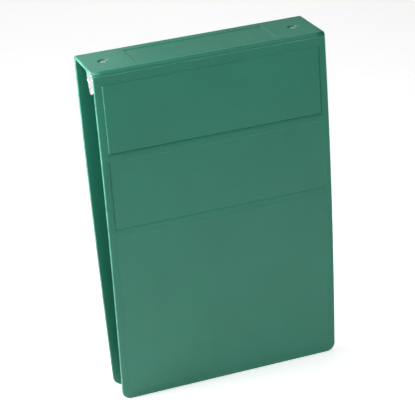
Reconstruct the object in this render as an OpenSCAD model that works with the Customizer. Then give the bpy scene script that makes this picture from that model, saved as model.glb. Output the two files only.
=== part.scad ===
// Top-opening ring album: a moulded three-panel shell with ring metal under its spine.
// It stands on the free edges of its two covers, spine uppermost.
// X runs along the spine, -Y is the front cover's side, Z is up and the origin is on the floor.

/* [Shell] */
// Length of the spine, which is also the width of the covers
spine_len = 254; // [252:1:270]
// Depth of the spine, from its front edge to its back edge
spine_depth = 65; // [65:0.5:75]
// Length of each cover, from its hinge edge to its free edge
cover_len = 382; // [360:1:420]
// Thickness of the two cover sheets
cover_t = 3.2; // [2.6:0.1:3.2]
// Thickness of the spine
spine_t = 3.6; // [3.4:0.1:3.6]
// How far each cover leans inwards as the album stands
lean_deg = 2.5; // [2:0.05:2.7]
// How far the middle of each cover stands proud of its two ends
cover_bow = 5.5; // [3:0.1:7]
// Radius of the two free corners of each cover
free_corner_r = 10; // [6:1:14]
// Radius of the two corners beside the hinge
hinge_corner_r = 1.5; // [1:0.5:3]

/* [Label panels] */
// Border between the panels and the sides of a cover
side_border = 9; // [8:0.5:14]
// Border between the first panel and the hinge edge
hinge_border = 10.5; // [9:0.5:14]
// Border between the last panel and the free edge
free_border = 9; // [9:0.5:14]
// Strip between one panel and the next
panel_strip = 10; // [8:0.5:14]
// Height of the first panel, counted along the cover
first_panel_h = 74; // [60:1:80]
// Height of the second panel
second_panel_h = 77; // [60:1:80]
// Step of each panel out of the cover's face: out is positive
panel_steps = [0.8, -0.5, -0.35];
// Length of the label recess in the spine
spine_label_len = 154; // [120:1:170]
// Depth of that recess from front to back
spine_label_w = 44; // [36:1:48]
// How far it is sunk
spine_label_sink = 0.7; // [0.4:0.1:1]

/* [Ring metal] */
// Distance between neighbouring rings
ring_pitch = 69.85; // [66:0.05:74]
// Radius of a closed ring, at the middle of the wire
ring_r = 22.2; // [21:0.1:22.4]
// Thickness of the ring wire
wire_d = 4; // [3.4:0.1:4]
// Length of the arched housing
housing_len = 228; // [226:1:228]
// Distance between the two rivets
rivet_pitch = 210; // [200:1:212]
// Width of a trigger's finger tab
tab_w = 22; // [16:0.2:23]
// Height of a trigger's finger tab below its neck
tab_h = 23; // [20:0.5:27]

/* [Hidden] */
$fn = 48;
past = 1;

// Shell: the hinge band bridges a corner between the spine's edge and the cover's edge
hinge_gap_y = 3.07;
hinge_gap_z = 3.84;
foot_cut = 0.2;
shell_h = hinge_gap_z + cover_len * cos(lean_deg) - foot_cut;
cover_edge_y = spine_depth / 2 + hinge_gap_y;
spine_inner_z = shell_h - spine_t;
bow_r = (pow(cover_len / 2, 2) + pow(cover_bow, 2)) / (2 * cover_bow);
bow_fn = 2400;
panel_w = spine_len - 2 * side_border;
panel_corner_r = 1.5;
panel_tops = [hinge_border,
              hinge_border + first_panel_h + panel_strip,
              hinge_border + first_panel_h + second_panel_h + 2 * panel_strip];
panel_heights = [first_panel_h, second_panel_h, cover_len - free_border - panel_tops[2]];
back_panel_step = -0.35;
spine_chamfer = 1.3;
web_t = 1.1;
web_inset = 0.45;
web_end_gap = 0.3;
web_clear = 0.2;

// Ring metal, counted downwards from the inner face of the spine
housing_w = 26;
housing_h = 8;
housing_t = 1;
arch_r = 24.1;
pivot_y = 11.2;
pivot_h = 3;
curl_in_r = 0.95;
curl_out_r = 1.8;
curl_mouth_h = 1.8;
bead_r = 0.85;
blade_t = 1;
blade_len = 2 * 112.2;
blade_tilt = 5.8;
blade_gap = 0.25;
ring_h = 29;
stud_y = 7.2;
stud_r = wire_d / 2 - 0.1;
elbow_r = wire_d / 2 + 0.2;
stake_r = 1.4;
stake_head_r = 2.4;
stake_head_t = 0.6;
ring_hole_r = 3.2;
ring_xs = [-ring_pitch, 0, ring_pitch];
tip_gap = 0.15;
nub_r = 0.8;
nub_len = 1.2;
fit = 0.05;

// Rivets
head_r = 4;
head_t = 1.1;
dimple_r = 5.5;
dimple_sink = 1.8;
shank_r = 2.2;
post_r = 3.25;
post_h = 6.7;
notch_r = 4.3;
clinch_r = 3.6;
clinch_t = 0.9;

// Triggers, which hang on a pin between two ears of the housing
pin_x = 117;
pin_h = 5;
pin_r = 1.25;
ear_r = 2.6;
ear_y = 6;
ear_t = 1;
ear_root_x = 112.8;
hub_r = 2.4;
hub_w = 10;
fork_w = 6;
finger_r = 0.5;
finger_x = 111.5;
upper_finger_h = 0.75;
lower_finger_h = 3.9;
elbow_x = 114.5;
tab_t = 1.4;
tab_top_h = 7.1;
tab_lean = -0.9;
shoulder_r = 3;

// ---------- shared shapes ----------

// A flat plate outline in X and Z, hanging down from z = 0, with its own corner radii
module plate_outline(w, l, top_r, low_r) {
    translate([-w / 2 + top_r, -top_r]) square([w - 2 * top_r, top_r]);
    translate([-w / 2, -l + low_r]) square([w, l - low_r - top_r]);
    translate([-w / 2 + low_r, -l]) square([w - 2 * low_r, low_r + past]);
    for (side = [-1, 1]) {
        translate([side * (w / 2 - top_r), -top_r]) circle(top_r);
        translate([side * (w / 2 - low_r), -l + low_r]) circle(low_r);
    }
}

// The space of that outline through the whole thickness of a cover
module through_cover(w, l, top_r, low_r) {
    translate([0, cover_t + past, 0]) rotate([90, 0, 0])
        linear_extrude(cover_t + cover_bow + 3 * past) plate_outline(w, l, top_r, low_r);
}

// A bowed skin that lies from low to high outside the cover's outer face
module bowed_skin(low, high) {
    translate([0, bow_r - cover_bow, -cover_len / 2]) rotate([0, 90, 0]) difference() {
        cylinder(h = spine_len + 2 * past, r = bow_r + high, center = true, $fn = bow_fn);
        cylinder(h = spine_len + 4 * past, r = bow_r + low, center = true, $fn = bow_fn);
    }
}

// One label panel of a cover, as a skin from low to high
module panel_skin(top, h, low, high) {
    intersection() {
        bowed_skin(low, high);
        translate([0, 0, -top]) through_cover(panel_w, h, panel_corner_r, panel_corner_r);
    }
}

module plain_cover() {
    intersection() {
        bowed_skin(-cover_t, 0);
        through_cover(spine_len, cover_len, hinge_corner_r, free_corner_r);
    }
}

// Moves a cover from its own frame, hanging from its outer top edge, to its place at the front,
// and cuts its free edge level, so that the album stands flat on it
module at_front() {
    difference() {
        translate([0, -cover_edge_y, shell_h - hinge_gap_z]) rotate([lean_deg, 0, 0]) children();
        translate([-spine_len, -spine_depth, -past]) cube([2 * spine_len, spine_depth, past]);
    }
}

// Hinge band in Y and Z, from the spine's edge to just clear of the cover's edge
module hinge_web() {
    spine_y = -spine_depth / 2;
    end_y = spine_y - hinge_gap_y + web_inset;
    end_z = web_clear - hinge_gap_z;
    translate([-spine_len / 2 + web_end_gap, 0, shell_h]) rotate([90, 0, 90])
        linear_extrude(spine_len - 2 * web_end_gap)
            polygon([[spine_y, -web_inset], [end_y, end_z], [end_y + web_t, end_z],
                     [spine_y, -web_inset - web_t * 1.25]]);
}

// Frame of the ring metal: its third axis counts down from the spine's inner face
module under_spine() {
    translate([0, 0, spine_inner_z]) mirror([0, 0, 1]) children();
}

// Frame of the back blade: y counts inwards from its pivot, along the closed blade
module on_blade() {
    translate([0, pivot_y, pivot_h]) rotate([blade_tilt, 0, 0]) mirror([0, 1, 0]) children();
}

// ---------- the shell ----------

module spine_panel() {
    half = spine_depth / 2;
    color("seagreen") difference() {
        translate([-spine_len / 2, 0, shell_h]) rotate([90, 0, 90]) linear_extrude(spine_len)
            polygon([[-half, 0], [-half, -spine_t + spine_chamfer], [-half + spine_chamfer, -spine_t],
                     [half - spine_chamfer, -spine_t], [half, -spine_t + spine_chamfer], [half, 0]]);
        translate([0, spine_label_w / 2, shell_h - spine_label_sink])
            linear_extrude(spine_label_sink + past)
                plate_outline(spine_label_len, spine_label_w, 2, 2);
        for (side = [-1, 1]) translate([side * rivet_pitch / 2, 0, 0]) {
            translate([0, 0, shell_h - dimple_sink]) cylinder(h = dimple_sink + past, r = dimple_r);
            translate([0, 0, spine_inner_z - past]) cylinder(h = spine_t + 2 * past, r = shank_r + fit);
        }
    }
}

module front_cover() {
    color("seagreen") at_front() difference() {
        union() {
            plain_cover();
            for (i = [0:2]) if (panel_steps[i] > 0)
                panel_skin(panel_tops[i], panel_heights[i], -cover_t / 2, panel_steps[i]);
        }
        for (i = [0:2]) if (panel_steps[i] < 0)
            panel_skin(panel_tops[i], panel_heights[i], panel_steps[i], past);
    }
}

module back_cover() {
    color("seagreen") mirror([0, 1, 0]) at_front() difference() {
        plain_cover();
        panel_skin(hinge_border, cover_len - hinge_border - free_border, back_panel_step, past);
    }
}

module front_hinge_web() {
    color("darkseagreen") hinge_web();
}

module back_hinge_web() {
    color("darkseagreen") mirror([0, 1, 0]) hinge_web();
}

// ---------- the ring metal ----------

// Section of the housing in Y and depth: an arch, two curled rims and two skirts
module housing_section() {
    half = housing_w / 2;
    difference() {
        intersection() {
            translate([0, housing_h - arch_r]) circle(arch_r, $fn = 240);
            translate([-half + 0.4, 0]) square([housing_w - 0.8, housing_h + past]);
        }
        translate([0, housing_h - arch_r]) circle(arch_r - housing_t, $fn = 240);
    }
    for (side = [-1, 1]) {
        difference() {
            translate([side * pivot_y, pivot_h]) circle(curl_out_r);
            translate([side * pivot_y, pivot_h]) circle(curl_in_r);
            translate([side * (pivot_y - curl_out_r), pivot_h])
                square([2 * curl_out_r, curl_mouth_h], center = true);
        }
        translate([side * (half - 0.4), pivot_h / 2]) square([0.8, pivot_h], center = true);
    }
}

// Two ears at one end of the housing, bored for the trigger's pin
module trigger_ears() {
    for (side = [-1, 1]) translate([0, side * (ear_y + ear_t / 2) + ear_t / 2, 0])
        rotate([90, 0, 0]) linear_extrude(ear_t) difference() {
            union() {
                translate([pin_x, pin_h]) circle(ear_r);
                translate([ear_root_x, pin_h - ear_r]) square([pin_x - ear_root_x, 2 * ear_r - 1]);
            }
            translate([pin_x, pin_h]) circle(pin_r + fit);
        }
}

module ring_housing() {
    color("gainsboro") under_spine() {
        difference() {
            translate([-housing_len / 2, 0, 0]) rotate([90, 0, 90])
                linear_extrude(housing_len) housing_section();
            for (x = ring_xs) for (side = [-1, 1])
                translate([x, side * stud_y, pivot_h + curl_in_r]) cylinder(h = housing_h, r = ring_hole_r);
            for (side = [-1, 1])
                translate([side * rivet_pitch / 2, 0, housing_h / 2])
                    cylinder(h = housing_h, r = shank_r + fit);
        }
        trigger_ears();
        mirror([1, 0, 0]) trigger_ears();
    }
}

// The back blade, with its bead, its notches for the rivet posts and its stud holes
module blade() {
    under_spine() on_blade() difference() {
        union() {
            translate([-blade_len / 2, 0, 0]) rotate([0, 90, 0]) cylinder(h = blade_len, r = bead_r);
            translate([-blade_len / 2, 0, -blade_t / 2])
                cube([blade_len, (pivot_y - blade_gap) / cos(blade_tilt), blade_t]);
        }
        for (side = [-1, 1])
            translate([side * rivet_pitch / 2, pivot_y / cos(blade_tilt), -2 * blade_t])
                cylinder(h = 4 * blade_t, r = notch_r);
        for (x = ring_xs)
            translate([x, (pivot_y - stud_y) / cos(blade_tilt), -2 * blade_t])
                cylinder(h = 4 * blade_t, r = stake_r + fit);
    }
}

module front_blade() {
    color("silver") mirror([0, 1, 0]) blade();
}

module back_blade() {
    color("silver") blade();
}

// Stud of a half ring: it stands on the blade, goes through it and is staked behind it
module ring_stud(x) {
    reach = (pivot_y - stud_y) / cos(blade_tilt);
    foot = blade_t / 2 + fit;
    rise = (ring_h - sqrt(pow(ring_r, 2) - pow(stud_y, 2)) - pivot_h) * cos(blade_tilt);
    on_blade() translate([x, reach, 0]) {
        translate([0, 0, foot]) cylinder(h = rise - foot, r = stud_r);
        translate([0, 0, -foot - fit]) cylinder(h = 2 * foot + 2 * fit, r = stake_r);
        translate([0, 0, -foot - stake_head_t]) cylinder(h = stake_head_t, r = stake_head_r);
    }
}

// Back half of the ring at x, without the parts that its tip has
module half_ring(x) {
    root_deg = asin(stud_y / ring_r);
    tip_deg = asin(tip_gap / ring_r);
    translate([x, 0, ring_h]) rotate([0, 90, 0]) rotate([0, 0, root_deg])
        rotate_extrude(angle = 180 - root_deg - tip_deg, $fn = 180)
            translate([ring_r, 0]) circle(wire_d / 2);
    translate([x, stud_y, ring_h - sqrt(pow(ring_r, 2) - pow(stud_y, 2))]) sphere(elbow_r);
    ring_stud(x);
}

// Front half: its tip carries a nub that the back half's socket takes
module front_ring(x) {
    color("whitesmoke") under_spine() {
        mirror([0, 1, 0]) half_ring(x);
        translate([x, nub_len - tip_gap, ring_h + ring_r]) rotate([90, 0, 0])
            cylinder(h = nub_len + tip_gap, r = nub_r);
    }
}

module back_ring(x) {
    color("whitesmoke") under_spine() difference() {
        half_ring(x);
        translate([x, nub_len + 2 * tip_gap, ring_h + ring_r]) rotate([90, 0, 0])
            cylinder(h = nub_len + 2 * tip_gap, r = nub_r + tip_gap);
    }
}

// ---------- the triggers ----------

// Side view of the trigger's fork: one finger passes each side of the blades
module fork_side() {
    top = upper_finger_h - finger_r;
    low = lower_finger_h + finger_r;
    polygon([[pin_x, low], [finger_x, low], [finger_x - finger_r, lower_finger_h],
             [finger_x, low - 2 * finger_r], [elbow_x, low - 2 * finger_r],
             [elbow_x, top + 2 * finger_r], [finger_x, top + 2 * finger_r],
             [finger_x - finger_r, upper_finger_h], [finger_x, top],
             [elbow_x + 2 * finger_r, top], [elbow_x + 2 * finger_r, pin_h - finger_r],
             [pin_x, pin_h - finger_r]]);
}

// Side view of the finger tab: it leaves the hub outwards and hangs with a slight inward lean
module tab_side() {
    neck_x = pin_x + hub_r + 2.1;
    low_x = neck_x + tab_lean;
    low_h = tab_top_h + tab_h;
    polygon([[pin_x, pin_h - hub_r], [neck_x - 1.2, pin_h - 1.6], [neck_x + tab_t - 0.4, tab_top_h - 0.9],
             [neck_x + tab_t, tab_top_h + 4], [low_x + tab_t + 0.3, low_h - 9], [low_x + tab_t, low_h],
             [low_x, low_h], [low_x + 0.3, low_h - 9], [neck_x, tab_top_h + 5], [neck_x - 0.4, tab_top_h + 2],
             [neck_x - 1.8, tab_top_h + 0.3], [pin_x, pin_h + hub_r]]);
}

// Face view of the tab in Y and depth: round shoulders, straight sides and a round end
module tab_face() {
    round_r = tab_w / 2;
    shoulder_h = tab_top_h - 0.9;
    translate([-round_r + shoulder_r, shoulder_h]) square([tab_w - 2 * shoulder_r, shoulder_r + 1]);
    translate([-round_r, shoulder_h + shoulder_r])
        square([tab_w, tab_h + 0.9 - shoulder_r - round_r]);
    for (side = [-1, 1])
        translate([side * (round_r - shoulder_r), shoulder_h + shoulder_r]) circle(shoulder_r);
    translate([0, tab_top_h + tab_h - round_r]) circle(round_r);
}

// The tab: as narrow as the hub up to the ears, and full width beyond them
module tab() {
    neck_end_x = pin_x + ear_r + 0.5;
    intersection() {
        translate([0, tab_w, 0]) rotate([90, 0, 0]) linear_extrude(2 * tab_w) tab_side();
        union() {
            translate([pin_x, -hub_w / 2, 0]) cube([2 * hub_r + 2, hub_w, tab_top_h + shoulder_r]);
            translate([neck_end_x, 0, 0]) rotate([90, 0, 90]) linear_extrude(4 * hub_r) tab_face();
        }
    }
}

module trigger() {
    under_spine() difference() {
        union() {
            translate([0, fork_w / 2, 0]) rotate([90, 0, 0]) linear_extrude(fork_w) fork_side();
            translate([pin_x, hub_w / 2, pin_h]) rotate([90, 0, 0]) cylinder(h = hub_w, r = hub_r);
            tab();
        }
        translate([pin_x, tab_w, pin_h]) rotate([90, 0, 0]) cylinder(h = 2 * tab_w, r = pin_r + fit);
    }
}

module left_trigger() {
    color("whitesmoke") mirror([1, 0, 0]) trigger();
}

module right_trigger() {
    color("whitesmoke") trigger();
}

// A pin with a riveted head outside each ear
module trigger_pin() {
    outer_y = ear_y + ear_t;
    color("silver") under_spine() translate([pin_x, 0, pin_h]) rotate([90, 0, 0]) {
        cylinder(h = 2 * outer_y + 0.2, r = pin_r, center = true);
        for (side = [-1, 1]) translate([0, 0, side * (outer_y + 0.4)])
            cylinder(h = 0.7, r = 1.9, center = true);
    }
}

module left_trigger_pin() {
    mirror([1, 0, 0]) trigger_pin();
}

module right_trigger_pin() {
    trigger_pin();
}

// ---------- the rivets ----------

// Domed head in its dimple, a shank through spine and housing, and a clinched end
module rivet() {
    seat_z = shell_h - dimple_sink;
    crown_z = spine_inner_z - housing_h;
    color("whitesmoke") {
        translate([0, 0, seat_z]) intersection() {
            cylinder(h = head_t, r = head_r);
            translate([0, 0, head_t - 2 * head_r * 1.3]) sphere(2 * head_r * 1.3, $fn = 120);
        }
        translate([0, 0, crown_z - clinch_t]) cylinder(h = seat_z - crown_z + clinch_t, r = shank_r);
        translate([0, 0, crown_z - clinch_t]) cylinder(h = clinch_t, r = clinch_r);
    }
}

module left_rivet() {
    translate([-rivet_pitch / 2, 0, 0]) rivet();
}

module right_rivet() {
    translate([rivet_pitch / 2, 0, 0]) rivet();
}

// Tube that keeps the arch off the spine where a rivet pulls it down
module rivet_post() {
    color("silver") under_spine() difference() {
        cylinder(h = post_h, r = post_r);
        translate([0, 0, -past]) cylinder(h = post_h + 2 * past, r = shank_r + fit);
    }
}

module left_rivet_post() {
    translate([-rivet_pitch / 2, 0, 0]) rivet_post();
}

module right_rivet_post() {
    translate([rivet_pitch / 2, 0, 0]) rivet_post();
}

spine_panel();
front_cover();
back_cover();
front_hinge_web();
back_hinge_web();
ring_housing();
front_blade();
back_blade();
front_ring(-ring_pitch);  // front_ring_left
front_ring(0);  // front_ring_middle
front_ring(ring_pitch);  // front_ring_right
back_ring(-ring_pitch);  // back_ring_left
back_ring(0);  // back_ring_middle
back_ring(ring_pitch);  // back_ring_right
left_trigger();
right_trigger();
left_trigger_pin();
right_trigger_pin();
left_rivet();
right_rivet();
left_rivet_post();
right_rivet_post();
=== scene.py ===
"""Looks of the top-opening ring album: a moulded green shell and the bright ring metal inside it."""

import math

import bmesh
import bpy
from mathutils import Matrix, Vector


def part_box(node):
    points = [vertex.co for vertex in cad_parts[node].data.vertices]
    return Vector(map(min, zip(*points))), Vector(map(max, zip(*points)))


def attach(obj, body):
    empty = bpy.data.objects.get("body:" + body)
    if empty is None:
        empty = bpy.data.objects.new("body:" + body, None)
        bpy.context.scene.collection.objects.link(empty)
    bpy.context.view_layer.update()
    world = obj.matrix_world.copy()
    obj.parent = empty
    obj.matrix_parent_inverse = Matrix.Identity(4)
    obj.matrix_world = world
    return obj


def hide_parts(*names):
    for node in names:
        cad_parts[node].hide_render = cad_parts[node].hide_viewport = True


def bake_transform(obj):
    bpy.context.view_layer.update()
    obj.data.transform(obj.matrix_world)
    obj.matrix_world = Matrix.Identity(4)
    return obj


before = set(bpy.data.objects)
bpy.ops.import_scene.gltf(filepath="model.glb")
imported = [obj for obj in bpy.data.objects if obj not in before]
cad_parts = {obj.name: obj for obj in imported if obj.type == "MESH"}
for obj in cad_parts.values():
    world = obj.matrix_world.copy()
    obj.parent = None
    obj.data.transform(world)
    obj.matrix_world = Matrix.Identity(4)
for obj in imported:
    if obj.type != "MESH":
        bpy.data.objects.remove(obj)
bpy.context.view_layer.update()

# ---------- sizes, in metres, from the frame and the design ----------

MM = 0.001
SPINE_LOW, SPINE_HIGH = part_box("spine_panel")
TOP = SPINE_HIGH.z
INNER = SPINE_LOW.z
HALF_LEN = SPINE_HIGH.x
HALF_DEPTH = SPINE_HIGH.y
SPINE_T = TOP - INNER

COVER_LEN = 382 * MM
COVER_T = 3.2 * MM
COVER_BOW = 5.5 * MM
BOW_R = ((COVER_LEN / 2) ** 2 + COVER_BOW**2) / (2 * COVER_BOW)
LEAN = math.radians(2.5)
HINGE_GAP_Y = 3.07 * MM
HINGE_GAP_Z = 3.84 * MM
FREE_CORNER_R = 10 * MM
HINGE_CORNER_R = 1.8 * MM
RIM_R = 1.3 * MM
# How far the level cut of the free edge stays above the sheet's square end
FREE_EDGE = COVER_LEN - 0.35 * MM
PANEL_HALF_W = HALF_LEN - 9 * MM
# Each label panel: its start and end along the cover, how far it is sunk, and how deep the fine
# line outside its step is at the left, right, hinge and free sides
FRONT_PANELS = (
    (10.5 * MM, 84.5 * MM, -0.77 * MM, (0.0, 0.6 * MM, 0.15 * MM, 0.6 * MM)),
    (94.5 * MM, 171.5 * MM, 0.4 * MM, (0.8 * MM, 0.4 * MM, 0.0, 0.0)),
    (181.5 * MM, 373 * MM, 0.25 * MM, (0.3 * MM, 0.2 * MM, 0.0, 0.12 * MM)),
)
BACK_PANELS = ((10.5 * MM, 373 * MM, 0.35 * MM, (0.1 * MM, 0.1 * MM, 0.1 * MM, 0.1 * MM)),)
STEP_HALF = 0.42 * MM
# A panel's fine line: how far outside its step it runs, and how wide it is
LINE_AT = 0.75 * MM
LINE_WIDTH = 0.45 * MM
# How far the left edge of a proud panel is painted pale, a painted highlight on its step
PANEL_EDGE_HIGHLIGHT = 0.85
# The mesh rows beside each step: their spacing, and how many there are on each side
STEP_ROW_GAP = 0.19 * MM
STEP_ROWS = 8

LABEL_HALF_LEN = 77 * MM
LABEL_HALF_W = 22 * MM
LABEL_SINK = 0.7 * MM
RIVET_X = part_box("right_rivet")[1].x - 4 * MM
DIMPLE_SQUARE = 8 * MM
# Rim, wall and floor of a rivet dimple: radius and depth
DIMPLE = tuple(
    (r * MM, d * MM)
    for r, d in ((6.6, 0.0), (6.0, 0.08), (5.6, 0.4), (5.35, 1.3), (5.0, 1.7), (4.3, 1.8), (2.3, 1.8))
)

PIN_X = 117 * MM
PIN_DEPTH = 5 * MM
HUB_R = 2.4 * MM
BORE_R = 1.3 * MM
# Rounding of the edges of stamped pieces
SMALL_BEVEL = 0.12 * MM


def smooth(t):
    """0 below 0, 1 above 1 and a soft S between."""
    t = min(1.0, max(0.0, t))
    return t * t * (3 - 2 * t)


def relief(outside, sink, line_depth):
    """Depth of a panel's floor, step and line at a distance outside its outline."""
    line = math.exp(-(((outside - LINE_AT) / LINE_WIDTH) ** 2))
    return sink * smooth(0.5 - outside / (2 * STEP_HALF)) + line_depth * line


def lines(low, high, steps, gap):
    """Positions from low to high: dense across each step and at most gap apart elsewhere."""
    keys = {low, high}
    for s in steps:
        keys.update(s + STEP_ROW_GAP * count for count in range(-STEP_ROWS, STEP_ROWS + 1))
    keys = sorted(k for k in keys if low <= k <= high)
    found = [keys[0]]
    for a, b in zip(keys, keys[1:]):
        count = max(1, math.ceil((b - a) / gap))
        found += [a + (b - a) * (k + 1) / count for k in range(count)]
    return found


def without_twins(values):
    """The sorted values, without any that is almost the same as the one before it."""
    kept = [values[0]]
    kept += [b for a, b in zip(values, values[1:]) if b - a > 1e-7]
    return kept


# ---------- mesh helpers ----------


def finish_object(bm, name, materials):
    """Turns a bmesh into a smooth-shaded object of the scene."""
    bmesh.ops.recalc_face_normals(bm, faces=bm.faces)
    mesh = bpy.data.meshes.new(name)
    bm.to_mesh(mesh)
    bm.free()
    for m in materials:
        mesh.materials.append(m)
    mesh.shade_smooth()
    obj = bpy.data.objects.new(name, mesh)
    bpy.context.scene.collection.objects.link(obj)
    return obj


def rim_profile(rim_r, thick):
    """How far a rounded rim stands out of the inset outline, and how deep, from outer to inner face."""
    steps = 4
    turn = [math.pi / 2 * k / steps for k in range(1, steps + 1)]
    outer = [(rim_r * math.sin(a), rim_r * (1 - math.cos(a))) for a in turn]
    inner = [(rim_r * math.cos(a), thick - rim_r + rim_r * math.sin(a)) for a in [0, *turn[:-1]]]
    return outer + inner


def round_hole(bm, corner_ring, centre, profile, place):
    """Fills a square gap in a plate with rings that end in a round dimple."""
    rings = [corner_ring]
    angles = [math.atan2(d - centre[1], a - centre[0]) for _, a, d in corner_ring]
    for radius, depth in profile:
        ring = []
        for angle in angles:
            a = centre[0] + radius * math.cos(angle)
            d = centre[1] + radius * math.sin(angle)
            ring.append((bm.verts.new(place(a, d, depth)), a, d))
        rings.append(ring)
    for near, far in zip(rings, rings[1:]):
        for k in range(len(near)):
            n = (k + 1) % len(near)
            bm.faces.new((near[k][0], near[n][0], far[n][0], far[k][0]))
    bm.faces.new([v for v, _, _ in rings[-1]])


def plate(name, half_width, downs, acrosses, rim_r, thick, sunk, place, finish, materials, holes=(),
          wear_and_highlight=None):
    """A sheet with rounded rims. half_width(down) bounds it, sunk(across, down) is its relief,
    finish(across, down) its material and the optional last argument how far its face is painted pale as a
    highlight.
    place(across, down, depth) puts a point in place."""
    bm = bmesh.new()
    rim = bm.verts.layers.float.new("rim")
    widest = max(acrosses)
    rows, cols = len(downs), len(acrosses)

    def flat(i, j):
        return acrosses[i] * half_width(downs[j]) / widest, downs[j]

    def grid(depth_at):
        return [
            [bm.verts.new(place(*flat(i, j), depth_at(*flat(i, j)))) for i in range(cols)]
            for j in range(rows)
        ]

    def in_hole(a, d):
        return any(abs(a - h[0]) < DIMPLE_SQUARE and abs(d - h[1]) < DIMPLE_SQUARE for h in holes)

    outer = grid(sunk)
    # Painted highlight: chosen spots of the face are painted pale through the rim attribute
    if wear_and_highlight:
        for j in range(rows):
            for i in range(cols):
                outer[j][i][rim] = wear_and_highlight(*flat(i, j))
    inner = grid(lambda a, d: thick)
    for j in range(rows - 1):
        for i in range(cols - 1):
            a, d = (Vector(flat(i, j)) + Vector(flat(i + 1, j + 1))) / 2
            if not in_hole(a, d):
                face = bm.faces.new((outer[j][i], outer[j][i + 1], outer[j + 1][i + 1], outer[j + 1][i]))
                face.material_index = finish(a, d)
            face = bm.faces.new((inner[j][i], inner[j + 1][i], inner[j + 1][i + 1], inner[j][i + 1]))
            face.material_index = 2
    for hole in holes:
        edge = [
            (outer[j][i], *flat(i, j))
            for j in range(rows)
            for i in range(cols)
            if abs(max(abs(flat(i, j)[0] - hole[0]), abs(flat(i, j)[1] - hole[1])) - DIMPLE_SQUARE) < 1e-6
        ]
        edge.sort(key=lambda e: math.atan2(e[2] - hole[1], e[1] - hole[0]))
        round_hole(bm, edge, hole, DIMPLE, place)
    border = [(i, 0) for i in range(cols)]
    border += [(cols - 1, j) for j in range(1, rows)]
    border += [(i, rows - 1) for i in reversed(range(cols - 1))]
    border += [(0, j) for j in reversed(range(1, rows - 1))]
    points = [Vector(flat(i, j)) for i, j in border]
    normals = []
    for k in range(len(points)):
        along = points[(k + 1) % len(points)] - points[k - 1]
        normals.append(Vector((along.y, -along.x)).normalized())
    loops = [[outer[j][i] for i, j in border]]
    for reach, depth in rim_profile(rim_r, thick):
        loop = [bm.verts.new(place(*(p + n * reach), depth)) for p, n in zip(points, normals)]
        loops.append(loop)
        for v in loop:
            v[rim] = 1.0
    loops.append([inner[j][i] for i, j in border])
    for near, far in zip(loops, loops[1:]):
        for k in range(len(near)):
            n = (k + 1) % len(near)
            bm.faces.new((near[k], near[n], far[n], far[k]))
    return finish_object(bm, name, materials)


def lathe(name, profile, place, turns, materials):
    """Turns a list of (radius, height) round an axis. place(x, y, height) puts a point in place."""
    bm = bmesh.new()
    rings = []
    for radius, height in profile:
        if radius < 1e-7:
            rings.append([bm.verts.new(place(0, 0, height))])
            continue
        angles = [2 * math.pi * k / turns for k in range(turns)]
        rings.append([
            bm.verts.new(place(radius * math.cos(a), radius * math.sin(a), height)) for a in angles
        ])
    for near, far in zip(rings, rings[1:]):
        for k in range(turns):
            n = (k + 1) % turns
            corners = (near[k % len(near)], near[n % len(near)], far[n % len(far)], far[k % len(far)])
            bm.faces.new(dict.fromkeys(corners))
    return finish_object(bm, name, materials)


def prism(name, outline, half_w, place, materials, bevel):
    """Extrudes an outline to half_w each side. place(x, y, depth) puts a point in place."""
    bm = bmesh.new()
    ends = [[bm.verts.new(place(x, y, depth)) for x, depth in outline] for y in (-half_w, half_w)]
    for ring in ends:
        bm.faces.new(ring)
    for k in range(len(outline)):
        n = (k + 1) % len(outline)
        bm.faces.new((ends[0][k], ends[0][n], ends[1][n], ends[1][k]))
    obj = finish_object(bm, name, materials)
    soften(obj, bevel)
    return obj


def soften(obj, width):
    """Rounds the sharp edges of a machined or stamped piece."""
    weld = obj.modifiers.new("weld", "WELD")
    weld.merge_threshold = 1e-6
    bevel = obj.modifiers.new("bevel", "BEVEL")
    bevel.width = width
    bevel.segments = 2
    bevel.limit_method = "ANGLE"
    bevel.angle_limit = math.radians(40)
    normals = obj.modifiers.new("normals", "WEIGHTED_NORMAL")
    normals.keep_sharp = True


# ---------- materials ----------


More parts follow.
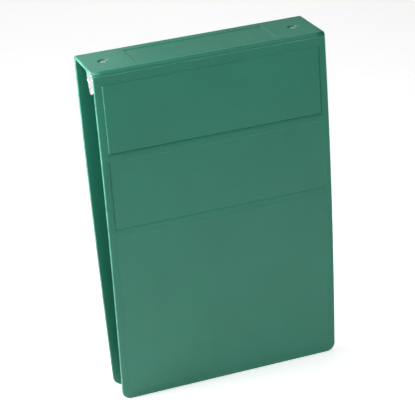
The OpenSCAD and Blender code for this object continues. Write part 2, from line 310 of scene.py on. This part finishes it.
class Recipe:
    """A material's node tree, with short ways to add textures to it."""

    def __init__(self, name):
        self.material = bpy.data.materials.new(name)
        self.material.use_nodes = True
        self.nodes = self.material.node_tree.nodes
        self.links = self.material.node_tree.links
        self.shader = self.nodes["Principled BSDF"]
        self.place = self.nodes.new("ShaderNodeTexCoord").outputs["Object"]

    def scaled(self, stretch):
        node = self.nodes.new("ShaderNodeMapping")
        node.inputs["Scale"].default_value = stretch
        self.links.new(self.place, node.inputs["Vector"])
        return node.outputs["Vector"]

    def noise(self, scale, detail=3.0, stretch=None):
        node = self.nodes.new("ShaderNodeTexNoise")
        node.inputs["Scale"].default_value = scale
        node.inputs["Detail"].default_value = detail
        self.links.new(self.scaled(stretch) if stretch else self.place, node.inputs["Vector"])
        return node.outputs["Fac"]

    def cells(self, scale):
        node = self.nodes.new("ShaderNodeTexVoronoi")
        node.feature = "SMOOTH_F1"
        node.inputs["Scale"].default_value = scale
        node.inputs["Smoothness"].default_value = 0.55
        self.links.new(self.place, node.inputs["Vector"])
        return node.outputs["Distance"]

    def attribute(self, name):
        node = self.nodes.new("ShaderNodeAttribute")
        node.attribute_name = name
        return node.outputs["Fac"]

    def span(self, value, low, high):
        """Spreads a 0.3 to 0.7 noise over low to high."""
        node = self.nodes.new("ShaderNodeMapRange")
        node.inputs["From Min"].default_value = 0.3
        node.inputs["From Max"].default_value = 0.7
        node.inputs["To Min"].default_value = low
        node.inputs["To Max"].default_value = high
        self.links.new(value, node.inputs["Value"])
        return node.outputs["Result"]

    def mix(self, share, a, b):
        """Colour a where share is 0 and b where it is 1. a may be a colour or a socket."""
        node = self.nodes.new("ShaderNodeMix")
        node.data_type = "RGBA"
        self.links.new(share, node.inputs["Factor"])
        for socket, value in (("A", a), ("B", b)):
            found = next(s for s in node.inputs if s.name == socket and s.type == "RGBA")
            if isinstance(value, tuple):
                found.default_value = (*value, 1)
            else:
                self.links.new(value, found)
        return next(s for s in node.outputs if s.type == "RGBA")

    def bump(self, height, distance, strength=1.0):
        node = self.nodes.new("ShaderNodeBump")
        node.inputs["Distance"].default_value = distance
        node.inputs["Strength"].default_value = strength
        self.links.new(height, node.inputs["Height"])
        if self.shader.inputs["Normal"].is_linked:
            self.links.new(self.shader.inputs["Normal"].links[0].from_socket, node.inputs["Normal"])
        self.links.new(node.outputs["Normal"], self.shader.inputs["Normal"])

    def set(self, **values):
        for name, value in values.items():
            socket = self.shader.inputs[name.replace("_", " ")]
            if isinstance(value, bpy.types.NodeSocket):
                self.links.new(value, socket)
            else:
                socket.default_value = value


def moulded_plastic(name, base, wear_and_highlight, pebble, roughness):
    """Moulded green plastic: pebbled or smooth, faintly mottled, rubbed paler along its rims, and painted
    pale where a plate marks a painted highlight.
    """
    r = Recipe(name)
    mottle = r.span(r.noise(16, 2), 0.0, 1.0)
    deep = tuple(c * 0.9 for c in base)
    colour = r.mix(mottle, deep, base)
    # The rim attribute mixes in the pale colour: rubbed wear on every rim and a painted highlight on the
    # left step of proud panels
    wear_highlight_share = r.nodes.new("ShaderNodeMath")
    wear_highlight_share.operation = "MULTIPLY"
    r.links.new(r.attribute("rim"), wear_highlight_share.inputs[0])
    r.links.new(r.span(r.noise(140, 4), 0.15, 0.75), wear_highlight_share.inputs[1])
    r.set(Base_Color=r.mix(wear_highlight_share.outputs["Value"], colour, wear_and_highlight))
    r.set(Roughness=r.span(r.noise(420, 4), *roughness), IOR=1.5)
    if pebble:
        r.bump(r.cells(620), 0.22 * MM, 0.9)
    r.bump(r.noise(95, 3), 0.10 * MM, 0.35)
    r.bump(r.noise(2600, 2), 0.02 * MM, 0.5)
    return r.material


def plated_steel(name, base, roughness, grain):
    """Bright plated steel with soft handling marks and a fine grain along the piece."""
    r = Recipe(name)
    dull = tuple(c * 0.86 for c in base)
    r.set(Base_Color=r.mix(r.span(r.noise(60, 3), 0.0, 1.0), dull, base), Metallic=1.0)
    r.set(Roughness=r.span(r.noise(350, 4, grain), *roughness))
    r.bump(r.noise(1500, 2, grain), 0.01 * MM, 0.4)
    return r.material


GREEN = (0.0042, 0.168, 0.104)
# Pale green of rubbed rims, also used for the painted highlight on proud panel steps
WEAR_AND_HIGHLIGHT_GREEN = (0.110, 0.400, 0.300)
INSIDE_GREEN = (0.0042, 0.165, 0.102)
BORDER = moulded_plastic("shell_pebbled", GREEN, WEAR_AND_HIGHLIGHT_GREEN, True, (0.36, 0.48))
PANEL = moulded_plastic("shell_smooth", GREEN, WEAR_AND_HIGHLIGHT_GREEN, False, (0.30, 0.40))
INSIDE = moulded_plastic("shell_inside", INSIDE_GREEN, WEAR_AND_HIGHLIGHT_GREEN, False, (0.45, 0.55))
CHROME = plated_steel("trigger_chrome", (0.90, 0.90, 0.91), (0.06, 0.16), (1, 1, 3))
NICKEL = plated_steel("ring_nickel", (0.80, 0.80, 0.79), (0.10, 0.20), (1, 4, 1))
SHEET = plated_steel("housing_nickel", (0.76, 0.76, 0.76), (0.14, 0.26), (0.05, 1, 1))
STEEL = plated_steel("blade_steel", (0.60, 0.61, 0.62), (0.26, 0.40), (0.05, 1, 1))
RIVET = plated_steel("rivet_nickel", (0.42, 0.43, 0.42), (0.26, 0.38), (1, 1, 1))
SHELL = (BORDER, PANEL, INSIDE)

# ---------- shell ----------


def cover_point(side):
    """Place of a cover's point: side is -1 for the front cover and 1 for the back cover."""

    def place(across, down, depth):
        swing = math.asin(max(-1.0, min(1.0, (down - COVER_LEN / 2) / BOW_R)))
        y = BOW_R - COVER_BOW - (BOW_R - depth) * math.cos(swing)
        z = -COVER_LEN / 2 - (BOW_R - depth) * math.sin(swing)
        leaning_y = y * math.cos(LEAN) - z * math.sin(LEAN)
        leaning_z = y * math.sin(LEAN) + z * math.cos(LEAN)
        outwards = HALF_DEPTH + HINGE_GAP_Y - leaning_y
        return Vector((across, side * outwards, TOP - HINGE_GAP_Z + leaning_z))

    return place


def rounded_width(half, length, low_r, high_r, rim_r):
    """Half width, at each distance down, of a plate's outline inset by its rim radius."""

    def width(down):
        low, high = low_r - rim_r, high_r - rim_r
        into_low = down - (length - rim_r - low)
        into_high = rim_r + high - down
        if into_low > 0:
            return half - rim_r - low + math.sqrt(max(0.0, low**2 - into_low**2))
        if into_high > 0:
            return half - rim_r - high + math.sqrt(max(0.0, high**2 - into_high**2))
        return half - rim_r

    return width


def corner_rows(start, radius, towards):
    """Rows that follow a round corner evenly by angle, from start in the direction of towards."""
    count = 8
    return [start + towards * radius * math.sin(math.pi / 2 * k / count) for k in range(count + 1)]


def cover(name, side, panels):
    """One cover: side is -1 for the front and 1 for the back."""
    half = HALF_LEN
    row_gap, column_gap = 6 * MM, 9 * MM
    low, high = FREE_CORNER_R - RIM_R, HINGE_CORNER_R - RIM_R
    step_rows = [edge for panel in panels for edge in panel[:2]]
    downs = corner_rows(RIM_R + high, high, -1)[::-1]
    downs += lines(RIM_R + high, FREE_EDGE - RIM_R - low, step_rows, row_gap)[1:]
    downs += corner_rows(FREE_EDGE - RIM_R - low, low, 1)[1:]
    acrosses = lines(-half + RIM_R, half - RIM_R, (-PANEL_HALF_W, PANEL_HALF_W), column_gap)

    def outside(across, down, panel):
        start, end, _, depths = panel
        reach = (-PANEL_HALF_W - across, across - PANEL_HALF_W, start - down, down - end)
        return max(zip(reach, depths))

    def sunk(across, down):
        found = 0.0
        for panel in panels:
            distance, line_depth = outside(across, down, panel)
            found += relief(distance, panel[2], line_depth)
        return found

    def finish(across, down):
        return 1 if min(outside(across, down, panel)[0] for panel in panels) < 0 else 0

    def wear_and_highlight(across, down):
        """The upper left edge of each proud panel is painted pale: a painted highlight on its step."""
        found = 0.0
        for panel in panels:
            start, end, sink, _ = panel
            if sink < 0 and start < down < end:
                # Painted highlight on the left step only, where the left light catches it
                found += PANEL_EDGE_HIGHLIGHT * math.exp(-(((across + PANEL_HALF_W) / LINE_WIDTH) ** 2))
        return found

    width = rounded_width(half, FREE_EDGE, FREE_CORNER_R, HINGE_CORNER_R, RIM_R)
    return plate(
        name, width, downs, acrosses, RIM_R, COVER_T, sunk, cover_point(side), finish, SHELL,
        wear_and_highlight=wear_and_highlight,
    )


def spine():
    """The spine panel, with its label recess and its two rivet dimples."""
    rim_r, corner = 0.9 * MM, 1.6 * MM
    row_gap, middle_gap = 5 * MM, 8 * MM
    length = 2 * HALF_DEPTH
    width = rounded_width(HALF_LEN, length, corner, corner, rim_r)
    square = [DIMPLE_SQUARE * k / 3 for k in range(-3, 4)]
    steps = [HALF_DEPTH - LABEL_HALF_W, HALF_DEPTH + LABEL_HALF_W]
    downs = sorted({
        *corner_rows(corner, corner - rim_r, -1),
        *lines(corner, HALF_DEPTH - DIMPLE_SQUARE, steps, row_gap),
        *(HALF_DEPTH + s for s in square),
        *lines(HALF_DEPTH + DIMPLE_SQUARE, length - corner, steps, row_gap),
        *corner_rows(length - corner, corner - rim_r, 1),
    })
    ends = (-LABEL_HALF_LEN, LABEL_HALF_LEN)
    acrosses = sorted({
        *lines(-HALF_LEN + rim_r, -RIVET_X - DIMPLE_SQUARE, (), row_gap),
        *(side * RIVET_X + s for side in (-1, 1) for s in square),
        *lines(-RIVET_X + DIMPLE_SQUARE, RIVET_X - DIMPLE_SQUARE, ends, middle_gap),
        *lines(RIVET_X + DIMPLE_SQUARE, HALF_LEN - rim_r, (), row_gap),
    })

    def outside(across, down):
        return max(abs(across) - LABEL_HALF_LEN, abs(down - HALF_DEPTH) - LABEL_HALF_W)

    def sunk(across, down):
        return relief(outside(across, down), LABEL_SINK, 0.0)

    def finish(across, down):
        return 1 if outside(across, down) < 0 else 0

    def place(across, down, depth):
        return Vector((across, down - HALF_DEPTH, TOP - depth))

    return plate(
        "spine_shell", width, without_twins(downs), without_twins(acrosses), rim_r, SPINE_T, sunk,
        place, finish, SHELL, holes=[(side * RIVET_X, HALF_DEPTH) for side in (-1, 1)],
    )


def hinge_band(side):
    """The thin bent band between spine and cover, with a groove along each of its edges."""
    below_top, before_cover, below_cover = 0.5 * MM, 0.45 * MM, 0.1 * MM
    thick, crown, groove = 1.0 * MM, 1.0 * MM, 0.4 * MM
    groove_places, groove_share = (0.14, 0.86), 0.06
    start = Vector((0, side * HALF_DEPTH, TOP - below_top))
    end_y = HALF_DEPTH + HINGE_GAP_Y - before_cover
    end = Vector((0, side * end_y, TOP - HINGE_GAP_Z - below_cover))
    along = end - start
    out = Vector((0, -along.z, along.y)) if side < 0 else Vector((0, along.z, -along.y))
    out = out.normalized() * (-1 if out.z < 0 else 1)
    shares = [k / 24 for k in range(-3, 28)]

    def proud(t):
        rise = crown * math.sin(math.pi * min(1.0, max(0.0, t)))
        dip = sum(math.exp(-(((t - at) / groove_share) ** 2)) for at in groove_places)
        return rise - groove * dip

    outer = [start + along * t + out * proud(t) for t in shares]
    inner = [start + along * t - out * thick for t in shares]
    ring = outer + inner[::-1]
    bm = bmesh.new()
    half = HALF_LEN - 0.3 * MM
    columns = [-half + 2 * half * k / 24 for k in range(25)]
    loops = [[bm.verts.new(p + Vector((x, 0, 0))) for p in ring] for x in columns]
    for near, far in zip(loops, loops[1:]):
        for k in range(len(ring)):
            n = (k + 1) % len(ring)
            bm.faces.new((near[k], near[n], far[n], far[k]))
    for loop in (loops[0], loops[-1]):
        bm.faces.new(loop)
    name = "front_hinge_band" if side < 0 else "back_hinge_band"
    return finish_object(bm, name, (BORDER,)), start, end


front = cover("front_cover_shell", -1, FRONT_PANELS)
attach(front, "front_cover")
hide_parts("front_cover")
back = cover("back_cover_shell", 1, BACK_PANELS)
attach(back, "back_cover")
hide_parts("back_cover")
spine_piece = spine()
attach(spine_piece, "spine")
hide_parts("spine_panel")
for side, body in ((-1, "front_cover"), (1, "back_cover")):
    band, band_start, band_end = hinge_band(side)
    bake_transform(band)
    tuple(band_start)
    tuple(band_end)
    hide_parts(body.replace("cover", "hinge_web"))

# ---------- ring metal ----------


def under_spine(side):
    """Place of a trigger's point: x outwards from the middle, y, and depth below the spine."""

    def place(x, y, depth):
        return Vector((side * x, y, INNER - depth))

    return place


def tab_path(share):
    """Where the middle of the trigger's tab is, as x and depth, from its hub to its tip."""
    points = ((117.5, 3.4), (119.6, 4.0), (121.4, 6.2), (122.1, 10.5), (122.1, 15.5), (121.8, 20.5),
              (121.5, 25.0), (121.3, 30.1))
    spot = share * (len(points) - 1)
    k = min(int(spot), len(points) - 2)
    t = spot - k
    around = [Vector(points[max(0, min(len(points) - 1, k + n))]) for n in (-1, 0, 1, 2)]
    a, b, c, d = around
    curve = b * 2 + (c - a) * t + (a * 2 - b * 5 + c * 4 - d) * t**2 + (b * 3 - a - c * 3 + d) * t**3
    return curve / 2 * MM


def path_lengths():
    """Distance along the tab's path at 200 even shares of it."""
    found = [0.0]
    for k in range(200):
        found.append(found[-1] + (tab_path((k + 1) / 200) - tab_path(k / 200)).length)
    return found


PATH_LENGTHS = path_lengths()


def tab_spot(length):
    """The point and the outward direction of the tab's path at a distance along it."""
    length = min(PATH_LENGTHS[-1], max(0.0, length))
    k = next(k for k in range(1, 201) if PATH_LENGTHS[k] >= length - 1e-9)
    near, far = PATH_LENGTHS[k - 1], PATH_LENGTHS[k]
    share = (k - 1 + (length - near) / (far - near)) / 200
    ahead = tab_path(min(1.0, share + 0.01)) - tab_path(max(0.0, share - 0.01))
    return tab_path(share), Vector((ahead.y, -ahead.x)).normalized()


def trigger_tab(name, side):
    """The finger tab: a stamped shield, slightly crowned across, with four grip dimples."""
    length = PATH_LENGTHS[-1]
    half = 11 * MM
    neck = 4.8 * MM
    rim_r = 0.5 * MM
    thick = 1.3 * MM
    flare_from, flare_to = 3.2 * MM, 8.2 * MM
    round_r = half - rim_r
    straight_to = length - rim_r - round_r

    def width(down):
        flare = min(1.0, max(0.0, (down - flare_from) / (flare_to - flare_from)))
        grown = neck + (half - rim_r - neck) * math.sqrt(1 - (1 - flare) ** 2)
        into = down - straight_to
        return math.sqrt(max(0.0, round_r**2 - into**2)) if into > 0 else grown

    grips = [(x * MM, d * MM) for x in (-2.9, 2.9) for d in (14.5, 19.5)]
    grip_depth, grip_r, grip_wall = 0.9 * MM, 1.5 * MM, 0.8 * MM
    tab_crown, crown_from, crown_over = 1.1 * MM, 4 * MM, 5 * MM

    def sunk(across, down):
        near = min(math.hypot(across - x, down - d) for x, d in grips)
        return grip_depth * smooth((grip_r - near) / grip_wall)

    def place(across, down, depth):
        spot, outward = tab_spot(down)
        crown = tab_crown * (across / half) ** 2 * smooth((down - crown_from) / crown_over)
        spot = spot + outward * (thick / 2 - depth - crown)
        return Vector((side * spot.x, across, INNER - spot.y))

    downs = [rim_r + (straight_to - rim_r) * k / 40 for k in range(40)]
    downs += corner_rows(straight_to, round_r * 0.999, 1)
    downs += [straight_to + round_r * s for s in (0.985, 0.995)]
    acrosses = [(-1 + 2 * k / 50) * (half - rim_r) for k in range(51)]
    return plate(
        name, width, sorted(downs), acrosses, rim_r, thick, sunk, place, lambda a, d: 0,
        (CHROME, CHROME, CHROME),
    )


def trigger_fork(name, side):
    """The two fingers of the trigger that take the ends of the blades between them."""
    outline = ((117, 4.4), (111.5, 4.4), (111, 3.9), (111.5, 3.4), (114.5, 3.4), (114.5, 1.25),
               (111.5, 1.25), (111, 0.75), (111.5, 0.25), (115.5, 0.25), (115.5, 4.5), (117, 4.5))
    half_w = 3 * MM
    points = [(x * MM, d * MM) for x, d in outline]
    return prism(name, points, half_w, under_spine(side), (CHROME,), SMALL_BEVEL)


def trigger_hub(name, side):
    """The rolled hub that turns on the pin."""
    half, chamfer = 5 * MM, 0.35 * MM
    profile = [(BORE_R, -half), (HUB_R - chamfer, -half), (HUB_R, -half + chamfer),
               (HUB_R, half - chamfer), (HUB_R - chamfer, half), (BORE_R, half), (BORE_R, -half)]

    def place(a, b, along):
        return Vector((side * (PIN_X + a), along, INNER - PIN_DEPTH - b))

    return lathe(name, profile, place, 40, (CHROME,))


def rivet(name, x):
    """A domed rivet with its shank and its rolled end below the housing."""
    seat = TOP - 1.8 * MM
    crown = INNER - 8 * MM
    turn = [math.pi / 2 * k / 8 for k in range(2, 9)]
    dome = [(4 * math.sin(a), 0.25 + 0.75 * math.cos(a)) for a in turn]
    head = [(0, 0.82), (0.5, 0.84), (0.9, 0.93), *dome, (3.85, 0.0), (2.2, 0.0)]
    roll = [(2.2, 0.0), (3.4, -0.05), (3.65, -0.35), (3.3, -0.8), (2.4, -0.95), (1.6, -0.6),
            (1.3, -0.1), (0, 0)]
    profile = [(r * MM, seat + h * MM) for r, h in head]
    profile += [(r * MM, crown + h * MM) for r, h in roll]

    def place(a, b, height):
        return Vector((x + a, b, height))

    return lathe(name, profile, place, 48, (RIVET,))


for side, body in ((-1, "left_trigger"), (1, "right_trigger")):
    tab = trigger_tab(body + "_tab", side)
    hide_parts(body)
    for piece in (tab, trigger_fork(body + "_fork", side), trigger_hub(body + "_hub", side)):
        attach(piece, body)
for side, node in ((-1, "left_rivet"), (1, "right_rivet")):
    piece = rivet(node + "_turned", side * RIVET_X)
    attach(piece, "spine")
    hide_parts(node)

for node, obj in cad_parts.items():
    if obj.hide_render:
        continue
    is_ring = "_ring_" in node
    finish = NICKEL if is_ring else SHEET if node == "ring_housing" else STEEL
    obj.data.materials.clear()
    obj.data.materials.append(finish)
    if not is_ring:
        soften(obj, SMALL_BEVEL)

# ---------- stage, light and camera ----------


def floor():
    """A plain pale floor, wide enough for every camera."""
    bm = bmesh.new()
    half = 6.0
    bm.faces.new([bm.verts.new((x * half, y * half, 0)) for x, y in ((-1, -1), (1, -1), (1, 1), (-1, 1))])
    r = Recipe("pale_floor")
    r.set(Base_Color=r.mix(r.span(r.noise(3, 2), 0.0, 1.0), (0.93, 0.93, 0.93), (0.95, 0.95, 0.95)))
    r.set(Roughness=0.9, Emission_Color=(1, 1, 1, 1), Emission_Strength=0.45)
    obj = finish_object(bm, "floor", (r.material,))


def soft_box(name, direction, distance, size, power, aim, spread=180):
    """A square area light that shines on aim from a direction, within a spread in degrees."""
    data = bpy.data.lights.new(name, "AREA")
    data.shape = "RECTANGLE"
    data.size, data.size_y = size
    data.energy = power
    data.spread = math.radians(spread)
    light = bpy.data.objects.new(name, data)
    back = Vector(direction).normalized()
    light.location = aim + back * distance
    light.visible_camera = False
    light.rotation_euler = back.to_track_quat("Z", "Y").to_euler()
    bpy.context.scene.collection.objects.link(light)


def camera(middle):
    """A long lens, above and to the left of the front cover, rolled slightly."""
    azimuth, elevation, roll = (math.radians(v) for v in (17.54, 23.34, -4.65))
    distance = 1.820
    lens = 145.0
    right_shift, up_shift = -6.04 * MM, 5.40 * MM
    forward = Vector((math.sin(azimuth) * math.cos(elevation), math.cos(azimuth) * math.cos(elevation),
                      -math.sin(elevation)))
    level_right = forward.cross(Vector((0, 0, 1))).normalized()
    level_up = level_right.cross(forward)
    right = level_right * math.cos(roll) + level_up * math.sin(roll)
    up = right.cross(forward)
    data = bpy.data.cameras.new("camera")
    data.lens = lens
    data.sensor_width = 36
    obj = bpy.data.objects.new("camera", data)
    turn = Matrix((right, up, -forward)).transposed()
    place = middle + right * right_shift + up * up_shift - forward * distance
    obj.matrix_world = Matrix.Translation(place) @ turn.to_4x4()
    bpy.context.scene.collection.objects.link(obj)
    bpy.context.scene.camera = obj


middle = Vector((0, 0, TOP - 193 * MM))
floor()
camera(middle)
soft_box("high_left_box", (-0.75, 0.1, 0.8), 0.75, (0.5, 0.6), 4.2, middle + Vector((0, 0, 0.19)))
soft_box("left_box", (-1.0, 0.12, 0.22), 0.7, (0.3, 0.6), 5.0, middle + Vector((0, 0, 0.1)))
soft_box("front_high_box", (-0.3, -0.8, 0.8), 1.0, (0.7, 0.6), 2.3, middle + Vector((0, 0, 0.15)))
soft_box("front_right_box", (0.6, -0.8, 0.8), 0.8, (0.4, 0.5), 1.4, middle + Vector((0, 0, 0.15)))
soft_box("high_back_box", (0.0, 0.15, 1.0), 1.6, (2.6, 1.6), 11.3, Vector((0, 1.3, 0)))
soft_box("spine_end_box", (0.276, 0.876, 0.395), 0.35, (0.16, 0.2), 0.016,
         Vector((-HALF_LEN - 0.05, 0, TOP)), 90)
soft_box("gap_box", (-0.9, -0.25, 0.3), 0.45, (0.12, 0.12), 0.15,
         Vector((-HALF_LEN, HALF_DEPTH, TOP - 0.06)), 50)
world = bpy.data.worlds.new("studio")
bpy.context.scene.world = world
world.use_nodes = True
world.node_tree.nodes["Background"].inputs["Color"].default_value = (1.0, 1.0, 1.0, 1)
world.node_tree.nodes["Background"].inputs["Strength"].default_value = 0.18
bpy.context.scene.view_settings.view_transform = "Standard"
